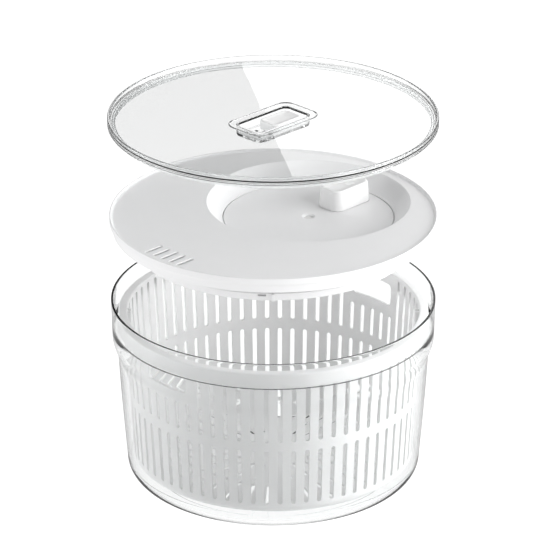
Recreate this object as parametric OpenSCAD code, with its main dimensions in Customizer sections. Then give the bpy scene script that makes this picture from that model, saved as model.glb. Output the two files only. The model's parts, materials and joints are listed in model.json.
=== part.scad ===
// Salad spinner with a clear bowl, a slotted basket, a geared spin lid and a clear
// storage cover with a vent. Z is up, the bowl stands on Z = 0 and its axis is the
// Z axis. The crank lies towards +Y and the pouring slots towards -Y.

/* [Raised positions] */
// Height of the spin lid above its seat on the bowl
lid_raise = 67.3; // [0:0.1:150]
// Height of the storage cover above its seat on the spin lid
cover_raise = 76; // [0:1:200]
// Distance of the vent slider from the middle of its pocket
vent_shift = 8.2; // [0:0.1:9]

/* [Bowl] */
// Outer radius of the rim
rim_r = 130; // [128:1:132]
// Height of the bowl
bowl_h = 150.5; // [148:0.5:160]
// Height of the ledge inside the collar
ledge_z = 128.5; // [127:0.1:130]
// Radius of the corner between the wall and the base
base_corner_r = 12.2; // [9:0.1:14]

/* [Basket] */
// Slots in each row
slot_count = 68; // [60:4:72]
// Width of a slot
slot_w = 3.6; // [3:0.1:4]
// Height of the basket's rim above the table
basket_top = 140; // [139:0.5:140.5]
// Width of the hand windows
window_w = 42; // [36:1:46]

/* [Spin lid] */
// Distance of the crank's axis from the bowl's axis, fixed by the gears
crank_offset = 40; // [40]
// Radius of the crank recess at the top face
recess_r = 81.7; // [80:0.1:82]
// Radius of the crank disc
disc_r = 68.5; // [66:0.5:68.5]
// Teeth on the drive gear
gear_teeth = 48; // [48]
// Teeth on the pinion
pinion_teeth = 16; // [16]
// Pouring slots
pour_count = 5; // [3:1:7]

/* [Knob] */
// Length of the knob along the crank
knob_l = 42; // [36:1:42]
// Width of the knob
knob_w = 26; // [23:1:27]
// Height of the knob's top above the lid's top face
knob_above = 3.5; // [2.5:0.1:3.6]

/* [Storage cover] */
// Length of the vent pocket
pocket_l = 55; // [54:1:56]
// Width of the vent pocket
pocket_w = 27; // [25:1:28]
// Length of the vent slider
slider_l = 31; // [29:1:32]
// Width of the vent slider
slider_w = 20; // [18:1:21]

/* [Hidden] */
$fn = 96;

// Colours
white = [0.93, 0.93, 0.92];
soft_white = [0.86, 0.86, 0.86];
clear = [0.86, 0.91, 0.93, 0.3];
steel = [0.7, 0.71, 0.73];

// Bowl
floor_z = 3;             // top of the floor
foot_recess = 1;         // hollow under the floor, inside the foot ring
foot_in_r = 97;
base_r = 118.6;          // outer radius where the wall meets the base corner
mid_z = 60;
mid_r = 122.3;           // outer radius half way up
waist_z = 103;
waist_r = 125;           // outer radius just under the collar
collar_z = 119;
collar_r = rim_r - 0.7;  // outer radius at the bottom of the collar
bowl_wall = 2.4;
pin_r = 5;
pin_top = 18;

// Basket
basket_floor = 12;
basket_wall = 2.2;
basket_low_r = 113.2;    // outer radius at the bottom corner
basket_high_r = 119.2;   // outer radius under the rim
basket_corner_r = 8;
skirt_z = 128;           // bottom edge of the turned-down rim
skirt_r = 124.4;
row_low = [21.3, 69];    // heights of the lower row of slots
row_high = [77, 136.6];  // heights of the upper row of slots
window_z = [110.5, 129];
under_window_z = 101.5;  // top of the slots under a window
slot_reach = [104, 120.7];  // radii that the slots are cut between, short of the skirt
lug_angles = [45, 135, 225, 315];

// Spin lid, heights from its flat top face
flange_h = 3.2;          // from the flat top down to the seat on the bowl's rim
lip_h = 2.2;             // of the lip round the flat top
plug_h = 10.5;           // down to the end of the plug inside the bowl's rim
lid_r = 130.25;
plug_r = 127.7;
plate_r = 123;
lid_top = bowl_h + flange_h + lid_raise;
plate_t = 2.2;
disc_top = -13.5;
disc_t = 2.2;
floor_top = -16.1;
floor_bottom = -18.1;
gear_top = -18.5;
gear_bottom = -22.5;
hub_bottom = -24;
tray_top = -26.2;
tray_bottom = -28.2;
tray_y = 30;
tray_r = 45.2;
screw_circle_r = 49.5;
shaft_r = 6;
pinion_shaft_r = 5;
running = 0.05;          // radial clearance of a running fit
ring_r = 110;
ring_bottom = -25;
ring_top = -18.8;
web_top = -29.4;
web_bottom = -31.4;
hub_cup_bottom = -35.8;

// Gears
gear_module = 1.25;
pressure = 25;
backlash = 0.2;          // taken off each tooth's width at the pitch circle

// Knob
knob_y = crank_offset + 40.8;
knob_gap = 0.3;

// Storage cover, heights from the top of its plate
cover_seat = 6.4;
cover_top = lid_top + cover_seat + cover_raise;
cover_r = 130.4;
cover_t = 2;
pocket_floor = -9.2;
pocket_bottom = -11;
pocket_corner_r = 5;
step_margin = 6;
step_depth = 0.6;

function mix(a, b, t) = a + (b - a) * t;
function ease(t) = t * t * (3 - 2 * t);
function arc(x, y, r, from, to, steps = 8) =
    [for (i = [0:steps]) let (a = mix(from, to, i / steps)) [x + r * cos(a), y + r * sin(a)]];
function reversed(points) = [for (i = [len(points) - 1:-1:0]) points[i]];
// Outer radius of the basket's wall at a height
function basket_r(z) = mix(basket_low_r, basket_high_r, (z - 20) / (skirt_z - 20));

// Rectangle with round corners, exact
module round_rect(l, w, r) {
    square([l - 2 * r, w], center = true);
    square([l, w - 2 * r], center = true);
    for (x = [-1, 1], y = [-1, 1]) translate([x * (l / 2 - r), y * (w / 2 - r)]) circle(r);
}

// Slot with round ends from [0, low] to [0, high]
module stadium(w, low, high) {
    translate([-w / 2, low + w / 2]) square([w, high - low - w]);
    for (y = [low + w / 2, high - w / 2]) translate([0, y]) circle(w / 2);
}

// Opening through the wall towards +Y, drawn as [across, height]
module through_wall() {
    translate([0, slot_reach[1], 0]) rotate([90, 0, 0])
        linear_extrude(slot_reach[1] - slot_reach[0]) children();
}

// Tube or disc between two heights
module ring(r, inner_r, z0, z1) {
    translate([0, 0, z0]) difference() {
        cylinder(r = r, h = z1 - z0);
        if (inner_r > 0) translate([0, 0, -1]) cylinder(r = inner_r, h = z1 - z0 + 2);
    }
}

// Shaft with one flat, as a key
module keyed(r, z0, z1) {
    translate([0, 0, z0]) intersection() {
        cylinder(r = r, h = z1 - z0);
        translate([-2 * r, -2 * r, -1]) cube([4 * r, 2.75 * r, z1 - z0 + 2]);
    }
}

// Cutter for a shallow dish, its lowest point at the origin
module dish(r, reach) {
    rotate_extrude() polygon(concat(
        [for (i = [0:8]) let (x = reach * i / 8) [x, x * x / (2 * r)]], [[reach, 10], [0, 10]]));
}

// Pan-head screw pointing up, its head's top face at z
module screw(z, shank_r, length, head_r, head_h) {
    translate([0, 0, z - head_h]) cylinder(r = head_r, h = head_h);
    translate([0, 0, z - 0.01]) cylinder(r = shank_r, h = length);
}

// Angle of an involute flank beyond its base circle
function involute(a) = tan(a) * 180 / PI - a;
// Half the angle of a tooth at a radius
function half_tooth(teeth, pitch_r, r) =
    90 / teeth - backlash / pitch_r * 90 / PI + involute(pressure)
    - involute(acos(min(1, pitch_r * cos(pressure) / r)));
function tooth(teeth, pitch_r, centre) =
    let (root = pitch_r - 1.25 * gear_module, tip = pitch_r + 0.95 * gear_module,
        start = max(root, pitch_r * cos(pressure)), steps = 5,
        flank = [for (i = [0:steps]) mix(start, tip, i / steps)],
        rs = start > root ? concat([root], flank) : flank,
        side = [for (r = rs) [r, half_tooth(teeth, pitch_r, max(r, start))]])
    concat([for (p = side) [p[0] * cos(centre - p[1]), p[0] * sin(centre - p[1])]],
        [for (p = reversed(side)) [p[0] * cos(centre + p[1]), p[0] * sin(centre + p[1])]]);
module gear_outline(teeth, phase) {
    pitch_r = teeth * gear_module / 2;
    polygon([for (i = [0:teeth - 1]) each tooth(teeth, pitch_r, phase + 360 * i / teeth)]);
}

// ---------------------------------------------------------------- bowl and basket

// Clear bowl: foot ring, round base corner, tapered wall, wider collar, centre pin
module bowl() {
    corner_x = base_r - base_corner_r;
    inner_corner_r = base_corner_r - bowl_wall;
    outside = concat(
        [[0, foot_recess], [foot_in_r - 1, foot_recess], [foot_in_r, 0]],
        arc(corner_x, base_corner_r, base_corner_r, -90, 0),
        [[mid_r, mid_z]],
        [for (i = [0:8]) [mix(waist_r, collar_r, ease(i / 8)), mix(waist_z, collar_z, i / 8)]],
        arc(rim_r - 0.45, bowl_h - 0.4, 0.4, 0, 90, 4));
    inside = concat(
        arc(rim_r - 1.35, bowl_h - 0.4, 0.4, 90, 180, 3),
        [[rim_r - 1.8, ledge_z], [rim_r - 3.5, ledge_z - 0.5]],
        [for (i = [8:-1:0]) [mix(waist_r, collar_r, ease(i / 8)) - bowl_wall - 0.6 * i / 8,
            mix(waist_z, collar_z, i / 8)]],
        [[mid_r - bowl_wall, mid_z]],
        arc(corner_x, floor_z + inner_corner_r, inner_corner_r, 0, -90),
        [[13, floor_z], [9, 9], [pin_r, 9.5], [pin_r, pin_top - 1], [pin_r - 1, pin_top],
            [0, pin_top]]);
    color(clear) rotate_extrude() polygon(concat(outside, inside));
}

// Bearing cup that the basket turns on and that lifts off the bowl's pin with it
module pivot_bush() {
    color(soft_white) rotate_extrude() polygon([[pin_r + 0.1, 9.8], [11, 9.8], [11, 11.5],
        [8, 11.5], [8, 18.6], [7.4, 19.2], [0, 19.2], [0, 18.3], [pin_r + 0.1, 18.3]]);
}

module basket_body() {
    corner_x = basket_low_r - basket_corner_r;
    under_rim_z = basket_top - 2.2;
    rotate_extrude() polygon(concat(
        [[0, 19.5], [8.1, 19.5], [8.1, 11.7], [11.5, 11.7], [11.5, basket_floor]],
        arc(corner_x, basket_floor + basket_corner_r, basket_corner_r, -90, 0, 6),
        [[basket_high_r, skirt_z], [basket_high_r + 0.3, under_rim_z],
            [skirt_r - 2, under_rim_z], [skirt_r - 2, skirt_z + 0.3], [skirt_r - 1.7, skirt_z],
            [skirt_r - 0.3, skirt_z], [skirt_r, skirt_z + 0.3]],
        arc(skirt_r - 1.6, basket_top - 1.6, 1.6, 0, 90, 5),
        arc(basket_high_r - basket_wall + 1.2, basket_top - 1, 1, 90, 180, 4),
        [[basket_high_r - basket_wall, skirt_z]],
        arc(corner_x, basket_floor + basket_corner_r, basket_corner_r - basket_wall, 0, -90, 6),
        [[16, basket_floor + basket_wall], [11.4, 16], [10.8, 20.5], [10.2, 21.1], [0, 21.1]]));
}

// Pairs of ribs inside the rim that the drive plate's lugs push on
module drive_ribs() {
    for (a = lug_angles, side = [-1, 1])
        rotate(a) translate([114.2, side * 3 - 0.7, 120]) cube([3.8, 1.4, 17.5]);
}

module basket_slots() {
    half = slot_count / 2;
    for (i = [0:slot_count - 1]) rotate(i * 360 / slot_count) {
        near_window = min(i % half, half - i % half) <= 2;
        through_wall() stadium(slot_w, row_low[0], row_low[1]);
        through_wall()
            stadium(slot_w, row_high[0], near_window ? under_window_z : row_high[1]);
    }
}

// Drain slots in the basket's floor, an inner and an outer ring of them
module floor_slots() {
    for (i = [0:23]) rotate(i * 15) translate([0, 0, basket_floor - 1])
        linear_extrude(4) stadium(slot_w, 30, 56);
    for (i = [0:slot_count / 2 - 1]) rotate(i * 720 / slot_count)
        translate([0, 0, basket_floor - 1]) linear_extrude(4) stadium(slot_w, 64, 99);
}

// White basket with two rows of slots and a hand window on each side
module basket() {
    window_h = window_z[1] - window_z[0];
    color(white) difference() {
        union() {
            basket_body();
            drive_ribs();
        }
        basket_slots();
        floor_slots();
        for (side = [0, 180]) rotate(side) through_wall()
            translate([0, window_z[0] + window_h / 2]) round_rect(window_w, window_h, 3.5);
    }
}

// ---------------------------------------------------------------- spin lid

// Lip, flange and plug of the lid, turned round the bowl's axis
module lid_rim() {
    rotate_extrude() polygon(concat(
        [[plate_r - 1, 0], [127.5, 0], [128.3, 0.35], [128.8, 0.9]],
        arc(lid_r - 0.6, lip_h - 0.6, 0.6, 170, 0, 5),
        [[lid_r, -flange_h + 0.4], [lid_r - 0.4, -flange_h], [plug_r, -flange_h],
            [plug_r, -plug_h + 0.4], [plug_r - 0.4, -plug_h], [125.4, -plug_h],
            [125.4, -4], [plate_r - 1, -plate_t]]));
}

// Outline of the crank recess: floor, then a wall that flares to the top face
function recess_wall(grow) = [for (i = [0:8]) let (t = i / 8)
    [mix(disc_r + 0.6, recess_r, t) + grow, mix(disc_top, 0, pow(t, 1.35))]];

module recess_cavity() {
    translate([0, crank_offset]) rotate_extrude() polygon(concat(
        [[0, floor_top], [disc_r + 0.6, floor_top]], recess_wall(0),
        [[recess_r + 0.5, 0.4], [recess_r + 0.5, 2], [0, 2]]));
}

module recess_shell() {
    translate([0, crank_offset]) rotate_extrude() polygon(concat(
        [[0, floor_bottom], [disc_r + 1.8, floor_bottom]],
        [for (p = recess_wall(2.2)) [p[0], min(p[1] - 1.2, -0.8)]],
        [[0, -0.8]]));
}

// Places of the gear cover's screws
module screw_places() {
    for (a = [0:60:300]) translate([0, tray_y]) rotate(a + 30) translate([screw_circle_r, 0])
        children();
}

// Pouring slots, side by side and parallel to Y, through a thinner patch of the plate
module pour_slots() {
    pitch = 8.7;
    patch_w = pour_count * pitch;
    for (i = [0:pour_count - 1]) translate([(i - (pour_count - 1) / 2) * pitch, 0, -10])
        linear_extrude(20) stadium(3.4, -122.2, -104.6);
    translate([-patch_w / 2, -121.5, -plate_t - 1]) cube([patch_w, 18.5, 1.9]);
}

// White top shell of the lid
module lid_shell() {
    color(white) translate([0, 0, lid_top]) {
        difference() {
            union() {
                lid_rim();
                ring(plate_r, 0, -plate_t, 0);
                recess_shell();
                translate([0, crank_offset]) ring(9, 0, floor_bottom - 2, floor_bottom + 0.5);
                screw_places() ring(3.8, 0, tray_top + 0.1, floor_bottom + 0.5);
            }
            recess_cavity();
            translate([0, crank_offset]) ring(shaft_r + running, 0, -30, 0);
            screw_places() ring(1.5, 0, tray_top - 1, floor_bottom + 0.4);
            pour_slots();
        }
    }
}

// Tray that closes the gearbox and carries the pinion's bearing
module gear_cover() {
    color(soft_white) translate([0, 0, lid_top]) difference() {
        union() {
            translate([0, tray_y]) ring(54, 0, tray_bottom, tray_top);
            translate([0, tray_y]) ring(tray_r, tray_r - 2, tray_bottom, floor_bottom - 0.1);
            ring(8, 0, -33, -23);
        }
        ring(pinion_shaft_r + running, 0, -40, -20);
        screw_places() ring(1.7, 0, -40, -20);
        screw_places() ring(3.4, 0, -40, tray_top - 0.8);
    }
}

module gear_cover_screws() {
    color(steel) translate([0, 0, lid_top]) screw_places()
        screw(tray_top - 0.82, 1.48, 7.5, 3.1, 1.7);
}

// Crank disc with its shaft; the knob's post stands in it
module crank_disc() {
    color(white) translate([0, crank_offset, lid_top]) difference() {
        union() {
            rotate_extrude() polygon([[0, disc_top - disc_t], [disc_r, disc_top - disc_t],
                [disc_r, disc_top - 0.5], [disc_r - 0.5, disc_top], [0, disc_top]]);
            ring(shaft_r, 0, -20.3, disc_top - 0.5);
            keyed(pinion_shaft_r, hub_bottom, -20);
        }
        ring(1.5, 0, hub_bottom - 1, -16.5);
        ring(3.6, 0, disc_top - 2.3, 1);
        translate([0, 0, disc_top - 1.6]) dish(9.5, 5.6);
        translate([0, knob_y - crank_offset]) ring(3.02, 0, -20, 0);
    }
}

// Small cap over the end of the crank's shaft
module axle_cap() {
    color(soft_white) translate([0, crank_offset, lid_top + disc_top])
        rotate_extrude() polygon([[0, -2.28], [3.55, -2.28], [3.55, -1.75], [3.2, -1.55], [0, -1.4]]);
}

module drive_gear() {
    color(soft_white) translate([0, crank_offset, lid_top]) difference() {
        union() {
            translate([0, 0, gear_bottom]) linear_extrude(gear_top - gear_bottom)
                gear_outline(gear_teeth, 0);
            ring(9, 0, hub_bottom, gear_bottom + 0.5);
        }
        ring(9.4, 0, -20.4, -10);
        keyed(pinion_shaft_r + 0.02, hub_bottom - 1, -20);
        for (a = [0:60:300]) rotate(a) translate([18.5, 0]) ring(5, 0, -30, -10);
    }
}

module crank_screw() {
    color(steel) translate([0, crank_offset, lid_top]) screw(hub_bottom - 0.02, 1.48, 6.5, 4.2, 1.6);
}

// Post that the knob turns on
module knob_post() {
    color(soft_white) translate([0, knob_y, lid_top]) difference() {
        union() {
            ring(3, 0, disc_top - disc_t + 0.1, disc_top + 0.1);
            ring(5, 0, disc_top + 0.02, disc_top + 1);
            ring(3.5, 0, disc_top + 0.9, -1.3);
        }
        ring(1.2, 0, -10, 0);
    }
}

module knob_screw() {
    color(steel) translate([0, knob_y, lid_top]) rotate([180, 0, 0]) screw(1.28, 1.18, 7, 5.2, 1.6);
}

// Solid with round corners, drawn in from the bottom to the top and round at the top edge
module knob_block(l, w, z0, z1, draw_in, edge) {
    hull() {
        translate([0, 0, z0]) linear_extrude(0.2) round_rect(l, w, 8.5, $fn = 64);
        for (a = [0:22.5:90])
            translate([0, 0, z1 - edge + edge * sin(a) - 0.02]) linear_extrude(0.02)
                round_rect(l - draw_in - 2 * edge * (1 - cos(a)), w - draw_in - 2 * edge * (1 - cos(a)),
                    8 - edge * (1 - cos(a)), $fn = 64);
    }
}

// Knob, a hollow shell with a bearing tube
module knob() {
    bottom = disc_top + knob_gap;
    color(white) translate([0, knob_y, lid_top]) difference() {
        rotate(90) knob_block(knob_l, knob_w, bottom, knob_above, 2.4, 1.2);
        translate([0, 0, bottom - 1]) linear_extrude(-3 - bottom + 1) difference() {
            rotate(90) round_rect(knob_l - 6.4, knob_w - 6.4, 5.3);
            circle(6);
        }
        ring(5.5, 0, bottom - 1, disc_top + 1.2);
        ring(3.5 + running, 0, -20, 0);
        ring(5.5, 0, -1.5, 2);
        translate([0, 0, 0.9]) linear_extrude(5)
            rotate(90) round_rect(knob_l - 7, knob_w - 7, 5);
    }
}

// Dished cap in the knob's top
module knob_cap() {
    color(white) translate([0, knob_y, lid_top]) difference() {
        translate([0, 0, 0.95]) linear_extrude(knob_above - 0.95 - 0.25)
            rotate(90) round_rect(knob_l - 7.2, knob_w - 7.2, 4.9);
        translate([0, 0, knob_above - 1.5]) dish(90, 20);
    }
}

// Pinion on the bowl's axis, with its shaft and keyed end
module pinion() {
    color(soft_white) translate([0, 0, lid_top]) difference() {
        union() {
            translate([0, 0, gear_bottom]) linear_extrude(gear_top - gear_bottom)
                gear_outline(pinion_teeth, 180 / pinion_teeth);
            ring(pinion_shaft_r, 0, -33.5, gear_bottom + 0.5);
            keyed(4, hub_cup_bottom, -33);
        }
        ring(1.5, 0, -40, -26);
    }
}

// Drive plate: a dished disc with an edge ring and four lugs that turn the basket
module drive_plate() {
    color(white) translate([0, 0, lid_top]) {
        difference() {
            rotate_extrude() polygon([[0, -33.6], [9, -33.6], [9, web_top], [84.5, web_top],
                [98.5, -22.2], [ring_r - 2, -22.2], [ring_r - 2, ring_top],
                [ring_r - 0.5, ring_top], [ring_r, ring_top - 0.5], [ring_r, ring_bottom + 0.4],
                [ring_r - 0.4, ring_bottom], [ring_r - 2.4, ring_bottom], [ring_r - 3, -24.2],
                [98, -24.2], [84, web_bottom], [11, web_bottom], [11, hub_cup_bottom],
                [0, hub_cup_bottom]]);
            keyed(4.02, -40, -30);
            for (a = lug_angles) rotate(a - 4.5) translate([ring_r - 3, -3.2, -21.4])
                cube([4, 6.4, 1.5]);
        }
        for (a = lug_angles) rotate(a) {
            translate([ring_r - 1, -1, -24]) cube([5, 2, 4.8]);
            translate([ring_r + 2, -1, -21.5]) cube([3.9, 2, 4.5]);
        }
        for (a = [0:45:315]) rotate(a + 22.5) translate([14, -0.8, web_bottom - 3])
            cube([70, 1.6, 3.2]);
    }
}

module drive_washer() {
    color(steel) translate([0, 0, lid_top]) ring(6, 1.7, hub_cup_bottom - 0.62, hub_cup_bottom - 0.02);
}

module drive_screw() {
    color(steel) translate([0, 0, lid_top]) screw(hub_cup_bottom - 0.64, 1.48, 9, 3.4, 1.8);
}

// ---------------------------------------------------------------- storage cover

// Clear cover: flat plate, raised rim, plug rib and the pocket of the vent
module cover() {
    color(clear) translate([0, 0, cover_top]) difference() {
        union() {
            rotate_extrude() polygon(concat([[0, -cover_t], [124.6, -cover_t], [124.6, -4.4],
                [126.4, -4.4], [126.4, -cover_t], [127.8, -cover_t], [127.8, -2.6], [128.2, -3]],
                arc(cover_r - 0.6, -2.4, 0.6, -90, 0, 3),
                arc(cover_r - 1.1, 2.5, 1.1, 0, 180, 8),
                [[128.2, 0], [0, 0]]));
            translate([0, 0, -3]) linear_extrude(3 - 0.1) rotate(90)
                round_rect(pocket_l + 2 * step_margin + 3, pocket_w + 2 * step_margin + 3,
                    pocket_corner_r + step_margin);
            translate([0, 0, pocket_bottom]) linear_extrude(-pocket_bottom - 0.1) rotate(90)
                round_rect(pocket_l + 3.6, pocket_w + 3.6, pocket_corner_r + 1.8);
        }
        translate([0, 0, -step_depth]) linear_extrude(5) rotate(90)
            round_rect(pocket_l + 2 * step_margin, pocket_w + 2 * step_margin,
                pocket_corner_r + step_margin - 1.5);
        translate([0, 0, pocket_floor]) linear_extrude(20) rotate(90)
            round_rect(pocket_l, pocket_w, pocket_corner_r);
        vent_openings();
    }
}

// Guide slot of the vent slider, and the vent holes that it covers when it is shut
module vent_openings() {
    translate([0, 0, pocket_bottom - 1]) linear_extrude(5) {
        stadium(4.6, -14.6, 13);
        for (x = [-6.5, 6.5], y = [-22, -17, -12]) translate([x, y]) circle(1.6);
        translate([0, -20]) circle(1.6);
    }
}

// Soft ring on the cover's plug rib
module cover_seal() {
    color(soft_white) translate([0, 0, cover_top]) rotate_extrude() polygon([
        [124.6, -cover_seat], [126.6, -cover_seat], [127.3, -5.4], [127.3, -4.6], [126.8, -3.4],
        [126.42, -3.4], [126.42, -4.42], [124.6, -4.42]]);
}

// Vent slider: a round-cornered block with a dished top and a stem through the guide slot
module vent_slider() {
    top = -1.8;
    color(white) translate([0, vent_shift, cover_top]) difference() {
        union() {
            translate([0, 0, pocket_floor + 0.1]) linear_extrude(top - pocket_floor - 0.5)
                rotate(90) round_rect(slider_l, slider_w, 4);
            translate([0, 0, top - 0.5]) linear_extrude(0.5)
                rotate(90) round_rect(slider_l - 0.8, slider_w - 0.8, 3.6);
            translate([0, 0, pocket_bottom - 0.2]) linear_extrude(3) stadium(4, -4, 4);
        }
        intersection() {
            translate([0, 0, top - 1]) dish(70, 18);
            translate([0, 0, top - 3]) linear_extrude(5)
                rotate(90) round_rect(slider_l - 4, slider_w - 4, 2.4);
        }
    }
}

// Clip under the pocket's floor that keeps the slider in
module vent_clip() {
    color(soft_white) translate([0, vent_shift, cover_top + pocket_bottom - 1.72])
        linear_extrude(1.5) rotate(90) round_rect(slider_l - 4, slider_w - 6, 3);
}

bowl();
pivot_bush();
basket();
lid_shell();
gear_cover();
gear_cover_screws();
crank_disc();
axle_cap();
drive_gear();
crank_screw();
knob_post();
knob_screw();
knob();
knob_cap();
pinion();
drive_plate();
drive_washer();
drive_screw();
cover();
cover_seal();
vent_slider();
vent_clip();
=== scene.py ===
import json
import math

import bmesh
import bpy
from mathutils import Matrix, Vector


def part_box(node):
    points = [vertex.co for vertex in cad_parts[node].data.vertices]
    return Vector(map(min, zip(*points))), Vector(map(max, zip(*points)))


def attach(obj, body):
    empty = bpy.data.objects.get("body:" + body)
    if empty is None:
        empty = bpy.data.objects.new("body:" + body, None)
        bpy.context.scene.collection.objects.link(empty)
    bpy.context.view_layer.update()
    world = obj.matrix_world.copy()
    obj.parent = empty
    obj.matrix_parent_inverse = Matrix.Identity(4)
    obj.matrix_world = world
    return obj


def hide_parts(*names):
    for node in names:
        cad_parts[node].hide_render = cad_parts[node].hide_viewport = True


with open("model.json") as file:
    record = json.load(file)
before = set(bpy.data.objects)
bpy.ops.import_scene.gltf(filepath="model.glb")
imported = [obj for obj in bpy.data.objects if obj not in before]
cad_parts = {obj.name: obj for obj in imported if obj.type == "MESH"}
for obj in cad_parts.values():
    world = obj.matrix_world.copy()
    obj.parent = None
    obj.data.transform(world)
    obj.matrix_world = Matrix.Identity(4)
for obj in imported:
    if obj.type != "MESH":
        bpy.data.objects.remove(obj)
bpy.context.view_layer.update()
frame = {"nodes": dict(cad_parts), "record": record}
MM = 0.001

SLIDER_BELOW_COVER = 1.8
KNOB_ABOVE_LID = 3.5
RING_STEPS = 360       # points round a turned piece
BLOCK_STEPS = 144      # points round the knob and the vent slider
POLE_R = 0.4           # where a turned profile starts and ends, just off the axis


def middle_y(node):
    low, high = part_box(node)
    return (low.y + high.y) / 2 / MM


# Places of the groups of pieces in mm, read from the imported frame
COVER_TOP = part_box("vent_slider")[1].z / MM + SLIDER_BELOW_COVER
LID_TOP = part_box("knob")[1].z / MM - KNOB_ABOVE_LID
KNOB_Y = middle_y("knob")
SLIDER_Y = middle_y("vent_slider")


# ------------------------------------------------------------------ mesh helpers

def around(cx, cy, r, a0, a1, steps):
    """Points on an arc between two angles in degrees."""
    angles = [math.radians(a0 + (a1 - a0) * i / steps) for i in range(steps + 1)]
    return [(cx + r * math.cos(a), cy + r * math.sin(a)) for a in angles]


def fillet(points, radii, steps):
    """Rounds the corners of an open line of (r, z) points; radii maps a point's index to a radius."""
    out = []
    for i, p in enumerate(points):
        radius = radii.get(i, 0)
        if radius <= 0 or i in (0, len(points) - 1):
            out.append(p)
            continue
        a, b, c = Vector(points[i - 1]), Vector(p), Vector(points[i + 1])
        u, v = (a - b).normalized(), (c - b).normalized()
        half = math.acos(max(-1, min(1, u.dot(v)))) / 2
        # a corner may use up at most half of each of its two sides
        reach = min(radius / math.tan(half), 0.49 * (a - b).length, 0.49 * (c - b).length)
        fitted = reach * math.tan(half)
        centre = b + (u + v).normalized() * (fitted / math.sin(half))
        start, end = b + u * reach, b + v * reach
        a0 = math.atan2(start.y - centre.y, start.x - centre.x)
        a1 = math.atan2(end.y - centre.y, end.x - centre.x)
        while a1 - a0 > math.pi:
            a1 -= 2 * math.pi
        while a1 - a0 < -math.pi:
            a1 += 2 * math.pi
        # an extra point beside the corner keeps the shading of a long side flat
        if (a - b).length > 3 * reach:
            out.append(tuple(b + u * 1.4 * reach))
        out += around(centre.x, centre.y, fitted, math.degrees(a0), math.degrees(a1), steps)
        if (c - b).length > 3 * reach:
            out.append(tuple(b + v * 1.4 * reach))
    return out


def circle(r, z):
    angles = [2 * math.pi * i / RING_STEPS for i in range(RING_STEPS)]
    return [(r * math.cos(a), r * math.sin(a), z) for a in angles]


def oblong(along, across, corner, z, steps=RING_STEPS):
    """Round-cornered rectangle, long side along Y, one point in each of equally spaced directions."""
    hx, hy = across / 2, along / 2
    corner = min(corner, hx - 0.01, hy - 0.01)
    kx, ky = hx - corner, hy - corner
    out = []
    for i in range(steps):
        c, s = math.cos(2 * math.pi * i / steps), math.sin(2 * math.pi * i / steps)
        t = min(hx / abs(c) if abs(c) > 1e-9 else 1e9, hy / abs(s) if abs(s) > 1e-9 else 1e9)
        if abs(t * c) > kx and abs(t * s) > ky:
            d = kx * abs(c) + ky * abs(s)
            t = d + math.sqrt(max(0, d * d - kx * kx - ky * ky + corner * corner))
        out.append((t * c, t * s, z))
    return out


def finish_mesh(mesh, angle):
    mesh.shade_smooth()
    mesh.set_sharp_from_angle(angle=math.radians(angle))


def loft(name, loops, offset=(0, 0, 0), angle=35):
    """Closed skin through loops of equal count; both end loops are closed to a point in their middle."""
    bm = bmesh.new()
    ox, oy, oz = offset
    rings = [[bm.verts.new(((x + ox) * MM, (y + oy) * MM, (z + oz) * MM)) for x, y, z in loop]
             for loop in loops]
    count = len(rings[0])
    for a, b in zip(rings, rings[1:]):
        for i in range(count):
            j = (i + 1) % count
            bm.faces.new((a[i], a[j], b[j], b[i]))
    for ring, flip in ((rings[0], True), (rings[-1], False)):
        pole = bm.verts.new(sum((v.co for v in ring), Vector()) / count)
        for i in range(count):
            j = (i + 1) % count
            bm.faces.new((ring[j], ring[i], pole) if flip else (ring[i], ring[j], pole))
    bmesh.ops.recalc_face_normals(bm, faces=bm.faces)
    mesh = bpy.data.meshes.new(name)
    bm.to_mesh(mesh)
    bm.free()
    ob = bpy.data.objects.new(name, mesh)
    bpy.context.scene.collection.objects.link(ob)
    finish_mesh(mesh, angle)
    return ob


def lathe(name, profile):
    """Closed solid turned round the Z axis from a profile whose ends lie near the axis."""
    return loft(name, [circle(r, z) for r, z in profile])


def cut(ob, cutters):
    """Takes the cutters out of ob and removes them."""
    for c in cutters:
        m = ob.modifiers.new("cut", "BOOLEAN")
        m.operation, m.solver, m.object = "DIFFERENCE", "EXACT", c
    bpy.context.view_layer.update()
    depsgraph = bpy.context.evaluated_depsgraph_get()
    mesh = bpy.data.meshes.new_from_object(ob.evaluated_get(depsgraph))
    ob.modifiers.clear()
    ob.data = mesh
    finish_mesh(mesh, 35)
    for c in cutters:
        bpy.data.objects.remove(c)


# ------------------------------------------------------------------ materials

def spread(nt, noise, low, high):
    """Stretches the middle of a noise over the range from low to high."""
    ramp = nt.nodes.new("ShaderNodeMapRange")
    ramp.inputs["From Min"].default_value = 0.3
    ramp.inputs["From Max"].default_value = 0.7
    ramp.inputs["To Min"].default_value = low
    ramp.inputs["To Max"].default_value = high
    nt.links.new(noise.outputs["Fac"], ramp.inputs["Value"])
    return ramp.outputs["Result"]


def bump(nt, noise, distance, normal):
    """Bump of a noise, on top of another normal if there is one."""
    b = nt.nodes.new("ShaderNodeBump")
    b.inputs["Strength"].default_value = 1.0
    b.inputs["Distance"].default_value = distance
    nt.links.new(noise.outputs["Fac"], b.inputs["Height"])
    if normal:
        nt.links.new(normal, b.inputs["Normal"])
    return b.outputs["Normal"]


def math_node(nt, operation, first, second, third=None):
    """Math node; each input is a number or an output of another node."""
    node = nt.nodes.new("ShaderNodeMath")
    node.operation = operation
    for socket, value in zip(node.inputs, (first, second, third)):
        if isinstance(value, (int, float)):
            socket.default_value = value
        elif value is not None:
            nt.links.new(value, socket)
    return node.outputs[0]


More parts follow.
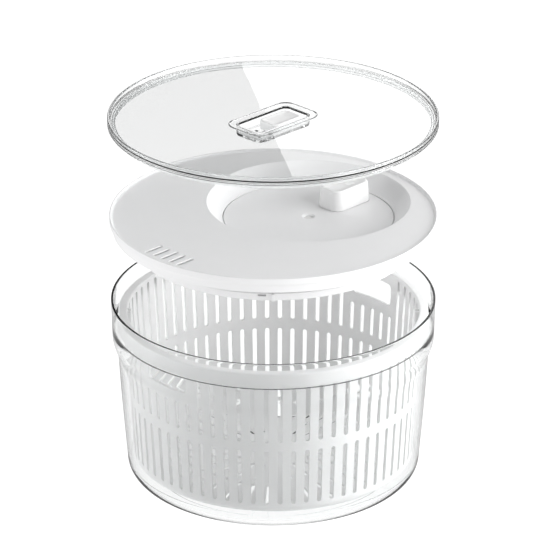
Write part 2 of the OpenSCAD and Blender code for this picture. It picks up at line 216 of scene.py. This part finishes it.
def material(name, base, roughness, grain=0.0, grain_scale=1200, wave=0.0, wave_scale=60,
             vary=0.0, rough_vary=0.0, clear=0.0, ior=1.49, metallic=0.0, round_edges=0.0,
             soak=0.0):
    """Plastic or metal. grain and wave are heights of fine and slow bumps in m, vary and
    rough_vary how far colour and roughness wander, and soak the density of a clear one."""
    mat = bpy.data.materials.new(name)
    mat.use_nodes = True
    nt = mat.node_tree
    nt.nodes.clear()
    new, link = nt.nodes.new, nt.links.new
    out = new("ShaderNodeOutputMaterial")
    p = new("ShaderNodeBsdfPrincipled")
    p.inputs["Base Color"].default_value = (*base, 1)
    p.inputs["Roughness"].default_value = roughness
    p.inputs["IOR"].default_value = ior
    p.inputs["Metallic"].default_value = metallic
    p.inputs["Transmission Weight"].default_value = clear
    place = new("ShaderNodeTexCoord")
    slow = new("ShaderNodeTexNoise")
    slow.inputs["Scale"].default_value = wave_scale
    slow.inputs["Detail"].default_value = 3
    link(place.outputs["Object"], slow.inputs["Vector"])
    if vary:
        mix = new("ShaderNodeMix")
        mix.data_type = "RGBA"
        mix.inputs[6].default_value = (*[c * (1 - vary) for c in base], 1)
        mix.inputs[7].default_value = (*base, 1)
        link(spread(nt, slow, 0, 1), mix.inputs[0])
        link(mix.outputs[2], p.inputs["Base Color"])
    if rough_vary:
        rough = spread(nt, slow, max(0, roughness - rough_vary), roughness + rough_vary)
        link(rough, p.inputs["Roughness"])
    normal = None
    if round_edges:
        bevel = new("ShaderNodeBevel")
        bevel.samples = 6
        bevel.inputs["Radius"].default_value = round_edges
        normal = bevel.outputs["Normal"]
    if wave:
        normal = bump(nt, slow, wave, normal)
    if grain:
        fine = new("ShaderNodeTexNoise")
        fine.inputs["Scale"].default_value = grain_scale
        fine.inputs["Detail"].default_value = 2
        link(place.outputs["Object"], fine.inputs["Vector"])
        normal = bump(nt, fine, grain, normal)
    if normal:
        link(normal, p.inputs["Normal"])
    if clear:
        # light passes straight through a clear piece on its way to what it falls on
        see = new("ShaderNodeBsdfTransparent")
        see.inputs["Color"].default_value = (0.93, 0.94, 0.94, 1)
        path = new("ShaderNodeLightPath")
        mix = new("ShaderNodeMixShader")
        link(path.outputs["Is Shadow Ray"], mix.inputs[0])
        link(p.outputs[0], mix.inputs[1])
        link(see.outputs[0], mix.inputs[2])
        link(mix.outputs[0], out.inputs["Surface"])
    else:
        link(p.outputs[0], out.inputs["Surface"])
    if soak:
        volume = new("ShaderNodeVolumeAbsorption")
        volume.inputs["Color"].default_value = (0.3, 0.32, 0.33, 1)
        volume.inputs["Density"].default_value = soak
        link(volume.outputs[0], out.inputs["Volume"])
    return mat


CLEAR = (0.985, 0.99, 0.99)
M = {
    "clear_plastic": material("clear_bowl_plastic", CLEAR, 0.0, wave=0.00001, wave_scale=25,
                              clear=1.0, ior=1.5, soak=11),
    "clear_cover": material("clear_cover_plastic", CLEAR, 0.0, wave=0.00001, wave_scale=18,
                            clear=1.0, ior=1.5, soak=7),
    "white_basket": material("basket_plastic", (0.9, 0.9, 0.9), 0.38, grain=0.000008,
                             wave=0.00002, wave_scale=40, vary=0.015, rough_vary=0.04,
                             round_edges=0.0005),
    "white_lid": material("lid_plastic", (0.88, 0.88, 0.885), 0.42, grain=0.000012,
                          grain_scale=1600, vary=0.012, rough_vary=0.04, round_edges=0.0006),
    "white_knob": material("knob_plastic", (0.92, 0.92, 0.92), 0.25, grain=0.000004,
                           vary=0.01, rough_vary=0.03, round_edges=0.0004),
    "bearing_plastic": material("acetal", (0.8, 0.8, 0.79), 0.35, grain=0.00001, vary=0.03,
                                rough_vary=0.05, round_edges=0.0003),
    "steel": material("plated_steel", (0.62, 0.63, 0.65), 0.28, metallic=1.0, grain=0.000004,
                      grain_scale=3000, rough_vary=0.08, round_edges=0.0002),
    "silicone": material("clear_silicone", (0.96, 0.97, 0.97), 0.3, vary=0.01, rough_vary=0.04,
                         clear=0.9, ior=1.41),
}
slots = {s["node"]: s["material_slot"] for s in frame["record"]["subparts"]}
for node, ob in frame["nodes"].items():
    ob.data.materials.clear()
    ob.data.materials.append(M[slots[node]])


def piece(ob, body, slot, *nodes):
    """Gives a piece its material and its body, in place of the nodes named."""
    ob.data.materials.clear()
    ob.data.materials.append(M[slot])
    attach(ob, body)
    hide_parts(*nodes)


# ------------------------------------------------------------------ bowl

def through(points, steps):
    """Smooth line through (z, r) points, as (r, z)."""
    out = []
    last = len(points) - 1
    for k in range(last):
        p0, p1 = points[max(0, k - 1)], points[k]
        p2, p3 = points[k + 1], points[min(last, k + 2)]
        m1 = (p2[1] - p0[1]) / (p2[0] - p0[0])
        m2 = (p3[1] - p1[1]) / (p3[0] - p1[0])
        h = p2[0] - p1[0]
        for i in range(steps):
            t = i / steps
            r = ((2 * t ** 3 - 3 * t * t + 1) * p1[1] + (t ** 3 - 2 * t * t + t) * h * m1
                 + (-2 * t ** 3 + 3 * t * t) * p2[1] + (t ** 3 - t * t) * h * m2)
            out.append((r, p1[0] + h * t))
    out.append((points[-1][1], points[-1][0]))
    return out


BOWL_WALL, COLLAR_EXTRA = 2.4, 0.6     # the collar's wall is thicker by COLLAR_EXTRA at its top
WAIST_R, WAIST_Z = 125, 103            # where the collar starts
COLLAR_FLARE, COLLAR_H, COLLAR_STEPS = 4.3, 16, 12
CORNER_X, CORNER_R = 106.4, 12.2       # centre and radius of the rounded base corner
RIM_Z, RIM_ROUND = 150.1, 0.4

outer_wall = through([(12.2, 118.6), (60, 122.3), (WAIST_Z, WAIST_R)], 7)
inner_wall = through([(12.6, 116.35), (60, 119.9), (WAIST_Z, 122.6)], 7)
rise = [i / COLLAR_STEPS for i in range(1, COLLAR_STEPS + 1)]
collar = [(WAIST_R + COLLAR_FLARE * (t * t * (3 - 2 * t)), WAIST_Z + COLLAR_H * t) for t in rise]
collar_inside = [(r - BOWL_WALL - COLLAR_EXTRA * t, z) for (r, z), t in zip(collar, rise)]
centre_pin = fillet([(60, 3), (13, 3), (9.3, 9), (5, 9.5), (5, 18), (POLE_R, 18)],
                    {1: 2, 2: 1, 3: 0.6, 4: 1}, 4)
bowl_outside = ([(POLE_R, 1), (96, 1)] + around(97.2, 0.8, 0.8, 180, 270, 4)
                + around(CORNER_X, CORNER_R, CORNER_R, -90, 0, 16) + outer_wall[1:] + collar
                + [(129.95, 148.5)] + around(129.55, RIM_Z, RIM_ROUND, 0, 90, 5))
bowl_inside = (around(128.65, RIM_Z, RIM_ROUND, 90, 180, 5)
               + [(128.25, 148.5), (128.2, 130.2)]
               + around(128.0, 128.7, 0.2, 0, -90, 4) + around(126.65, 128.2, 0.3, 90, 180, 4)
               + collar_inside[::-1] + inner_wall[::-1]
               + around(CORNER_X, 12.8, 9.8, 0, -90, 12) + centre_pin)
piece(lathe("bowl_clear", bowl_outside + bowl_inside), "bowl", "clear_plastic", "bowl")

# ------------------------------------------------------------------ storage cover
# Heights are from the top of the cover's plate

POCKET_L, POCKET_W, POCKET_CORNER = 55, 27, 5
STEP = 6                               # width of the shallow step round the pocket
STEP_CORNER_UNDER, STEP_CORNER_TOP = 10.3, 9.5
POCKET_FLOOR = -9.2


def pocket(grow, z):
    return oblong(POCKET_L + grow, POCKET_W + grow, POCKET_CORNER + grow / 2, z)


def step(grow, z, corner):
    return oblong(POCKET_L + 2 * STEP + grow, POCKET_W + 2 * STEP + grow, corner + grow / 2, z)


# Plate's underside, plug rib, seat, rim and the plate's top, as (r, z)
rim_line = [(80, -2), (124.6, -2), (124.6, -4.4), (126.4, -4.4), (126.4, -2), (127.8, -2),
            (127.8, -2.6), (128.2, -3), (130.4, -3), (130.4, 3.6), (128.2, 3.6), (128.2, 0),
            (80, 0)]
rim_rounding = {1: 0.3, 2: 0.3, 3: 0.3, 4: 0.3, 5: 0.3, 6: 0.2, 7: 0.2, 8: 0.6, 9: 1.05,
                10: 1.05, 11: 0.8}
# (growth, height) of the loops up the outside of the pocket and up its inside
pocket_outside = [(0.6, -11), (1.4, -11), (2.7, -10.75), (3.4, -10.1), (3.6, -9.4), (3.6, -8),
                  (3.6, -6), (3.6, -4.4), (3.6, -3.8), (3.8, -3.3), (4.4, -3.05)]
step_under = [(0, -3), (1.8, -3), (2.7, -2.8), (3, -2.4), (3.2, -2.1), (3.6, -2), (4.6, -2)]
step_top = [(1.6, 0), (0.8, 0), (0.2, -0.08), (0, -0.25), (-0.1, -0.5), (-0.6, -0.6),
            (-1.4, -0.6)]
pocket_inside = [(2, -0.6), (1.2, -0.62), (0.4, -0.85), (0, -1.4), (0, -2.4), (0, -4), (0, -6),
                 (0, -8.2), (-0.4, -8.8), (-1.2, -9.15), (-2.4, POCKET_FLOOR),
                 (-3.4, POCKET_FLOOR)]
cover_loops = ([oblong(2, 1, 0.4, -11)]
               + [pocket(g, z) for g, z in pocket_outside]
               + [step(g, z, STEP_CORNER_UNDER) for g, z in step_under]
               + [circle(r, z) for r, z in fillet(rim_line, rim_rounding, 6)]
               + [step(g, z, STEP_CORNER_TOP) for g, z in step_top]
               + [pocket(g, z) for g, z in pocket_inside]
               + [oblong(2, 1, 0.4, POCKET_FLOOR)])
cover = loft("cover_clear", cover_loops, (0, 0, COVER_TOP))


def slot_cutter(x, y0, y1, r):
    """Cutter through the pocket's floor, with round ends at y0 and y1."""
    ring = around(x, y1, r, 0, 180, 16) + around(x, y0, r, 180, 360, 16)
    return loft("cutter", [[(x, y, z) for x, y in ring] for z in (-12, -8)], (0, 0, COVER_TOP))


GUIDE_R, VENT_R = 2.3, 1.6
vents = [(x, y) for x in (-6.5, 6.5) for y in (-22, -17, -12)] + [(0, -20)]
cut(cover, [slot_cutter(0, -12.3, 10.7, GUIDE_R)]
    + [slot_cutter(x, y - 0.001, y + 0.001, VENT_R) for x, y in vents])
piece(cover, "cover", "clear_cover", "cover")


# ------------------------------------------------------------------ knob and slider

def knob_loop(inset, z):
    return oblong(42 - 2 * inset, 26 - 2 * inset, 8.5 - inset * 0.6, z, BLOCK_STEPS)


def slider_loop(inset, z):
    return oblong(31 - 2 * inset, 20 - 2 * inset, 4.2 - inset * 0.7, z, BLOCK_STEPS)


# (inset, height) of the loops from the bottom, up the side, over the edge and into the dish
EDGE_R, EDGE_INSET, EDGE_Z = 1.4, 1.2, 2.1
knob_side = [(3, -13.2), (0, -13.2), (0.3, -9), (0.75, -4), (1.05, 0), (EDGE_INSET, 1.9)]
turns = [math.radians(a) for a in (15, 30, 45, 60, 75, 90)]
knob_edge = [(EDGE_INSET + EDGE_R * (1 - math.cos(a)), EDGE_Z + EDGE_R * math.sin(a)) for a in turns]
knob_dish = [(3.1, 3.48), (3.8, 3.3), (5, 3.0), (8, 2.6), (11.5, 2.42)]
knob = loft("knob_grip", [knob_loop(i, z) for i, z in knob_side + knob_edge + knob_dish],
            (0, KNOB_Y, LID_TOP), 50)
piece(knob, "knob", "white_knob", "knob", "knob_cap")

slider_line = [(1, -9.1), (0, -8.9), (0.1, -4), (0.3, -2.6), (0.6, -2.05), (1.1, -1.82),
               (1.8, -1.8), (2.3, -1.95), (3.2, -2.3), (5, -2.6), (8.5, -2.8)]
slider = loft("vent_block", [slider_loop(i, z) for i, z in slider_line],
              (0, SLIDER_Y, COVER_TOP), 50)
piece(slider, "vent", "white_knob", "vent_slider")

# ------------------------------------------------------------------ studio
# The floor is a lit white table. Polished surfaces see a dimmer one, as in a studio with dark
# screens, and the camera sees a white backdrop behind it.

FLOOR_HALF, FLOOR_DROP = 30, 0.0004
FLOOR_GREY = 0.1
FLOOR_GLOW, FLOOR_MIRRORED = 1.05, 0.35
WORLD_FILL, WORLD_DARK = 0.4, 0.1

corners = [(-FLOOR_HALF, -FLOOR_HALF, 0), (FLOOR_HALF, -FLOOR_HALF, 0),
           (FLOOR_HALF, FLOOR_HALF, 0), (-FLOOR_HALF, FLOOR_HALF, 0)]
floor_mesh = bpy.data.meshes.new("floor")
floor_mesh.from_pydata(corners, [], [(0, 1, 2, 3)])
floor = bpy.data.objects.new("floor", floor_mesh)
floor.location.z = -FLOOR_DROP
bpy.context.scene.collection.objects.link(floor)
floor_material = bpy.data.materials.new("pale_floor")
floor_material.use_nodes = True
nt = floor_material.node_tree
surface = nt.nodes["Principled BSDF"]
surface.inputs["Base Color"].default_value = (FLOOR_GREY, FLOOR_GREY, FLOOR_GREY, 1)
surface.inputs["Roughness"].default_value = 0.9
surface.inputs["Emission Color"].default_value = (1, 1, 1, 1)

rays = nt.nodes.new("ShaderNodeLightPath")
mirrored = math_node(nt, "MULTIPLY", rays.outputs["Is Glossy Ray"], rays.outputs["Is Reflection Ray"])
glow = math_node(nt, "MULTIPLY_ADD", mirrored, FLOOR_MIRRORED - FLOOR_GLOW, FLOOR_GLOW)
nt.links.new(glow, surface.inputs["Emission Strength"])
floor.data.materials.append(floor_material)

world = bpy.data.worlds.new("studio")
bpy.context.scene.world = world
world.use_nodes = True
nt = world.node_tree
background = nt.nodes["Background"]
background.inputs["Color"].default_value = (1, 1, 1, 1)
rays = nt.nodes.new("ShaderNodeLightPath")
fill = math_node(nt, "MULTIPLY_ADD", rays.outputs["Is Diffuse Ray"], WORLD_FILL, WORLD_DARK)
backdrop = math_node(nt, "ADD", rays.outputs["Is Camera Ray"], fill)
nt.links.new(backdrop, background.inputs["Strength"])

MID_Z = 0.16


def softbox(name, where, aim, size, radiance):
    """Area light of even radiance; power = radiance * pi * area."""
    light = bpy.data.lights.new(name, "AREA")
    light.shape = "RECTANGLE"
    light.size, light.size_y = size
    light.energy = radiance * math.pi * size[0] * size[1]
    ob = bpy.data.objects.new(name, light)
    ob.location = where
    ob.rotation_euler = (Vector(aim) - Vector(where)).to_track_quat("-Z", "Y").to_euler()
    bpy.context.scene.collection.objects.link(ob)
    return ob


def direction(azimuth, elevation):
    a, e = math.radians(azimuth), math.radians(elevation)
    return Vector((math.sin(a) * math.cos(e), -math.cos(a) * math.cos(e), math.sin(e)))


# name, azimuth and elevation in degrees, distance, height aimed at, size, radiance
LIGHTS = [
    ("top_light", 205, 64, 2.4, MID_Z, (2.4, 2.4), 0.6),
    ("right_light", 110, 25, 1.3, MID_Z, (1.0, 0.9), 3.4),
    ("right_low_light", 135, 14, 2.0, 0.12, (1.4, 0.8), 4.6),
    ("left_light", -46, 5, 2.8, 0.08, (1.6, 0.9), 5.2),
    ("front_light", 48, 12, 3.8, 0.1, (2.4, 1.0), 0.3),
]
for name, azimuth, elevation, distance, aim_z, size, radiance in LIGHTS:
    where = direction(azimuth, elevation) * distance + Vector((0, 0, MID_Z))
    softbox(name, where, (0, 0, aim_z), size, radiance)

# Panel behind the object whose slanting edge shows in the flat cover
PANEL_SIZE, PANEL_RADIANCE, PANEL_LEAN = (1.5, 1.8), 1.1, math.radians(23)
VIEW_AZIMUTH, VIEW_ELEVATION, VIEW_DISTANCE = 45, 24.2, 3.2
back = direction(VIEW_AZIMUTH + 180, 0)
side = direction(VIEW_AZIMUTH + 90, 0)
up = Vector((0, 0, 1))
across = side * math.cos(PANEL_LEAN) - up * math.sin(PANEL_LEAN)
along = up * math.cos(PANEL_LEAN) + side * math.sin(PANEL_LEAN)
edge = back * 4.0 + side * -0.019 + up * 1.915
panel = softbox("back_light", (0, 0, 0), (0, 1, 0), PANEL_SIZE, PANEL_RADIANCE)
turn = Matrix((-across, along, back)).transposed().to_4x4()
panel.matrix_world = Matrix.Translation(edge + across * PANEL_SIZE[0] / 2) @ turn

# ------------------------------------------------------------------ camera

SENSOR, FOCAL_OVER_WIDTH = 36, 4000 / 560
TARGET_Z, TARGET_SIDE = 0.164, 0.0054
cam = bpy.data.cameras.new("camera")
cam.sensor_width = SENSOR
cam.lens = SENSOR * FOCAL_OVER_WIDTH
cam.clip_end = 100
camera = bpy.data.objects.new("camera", cam)
target = up * TARGET_Z + side * TARGET_SIDE
camera.location = target + VIEW_DISTANCE * direction(VIEW_AZIMUTH, VIEW_ELEVATION)
camera.rotation_euler = (target - camera.location).to_track_quat("-Z", "Y").to_euler()
bpy.context.scene.collection.objects.link(camera)
bpy.context.scene.camera = camera
bpy.context.scene.view_settings.view_transform = "Standard"
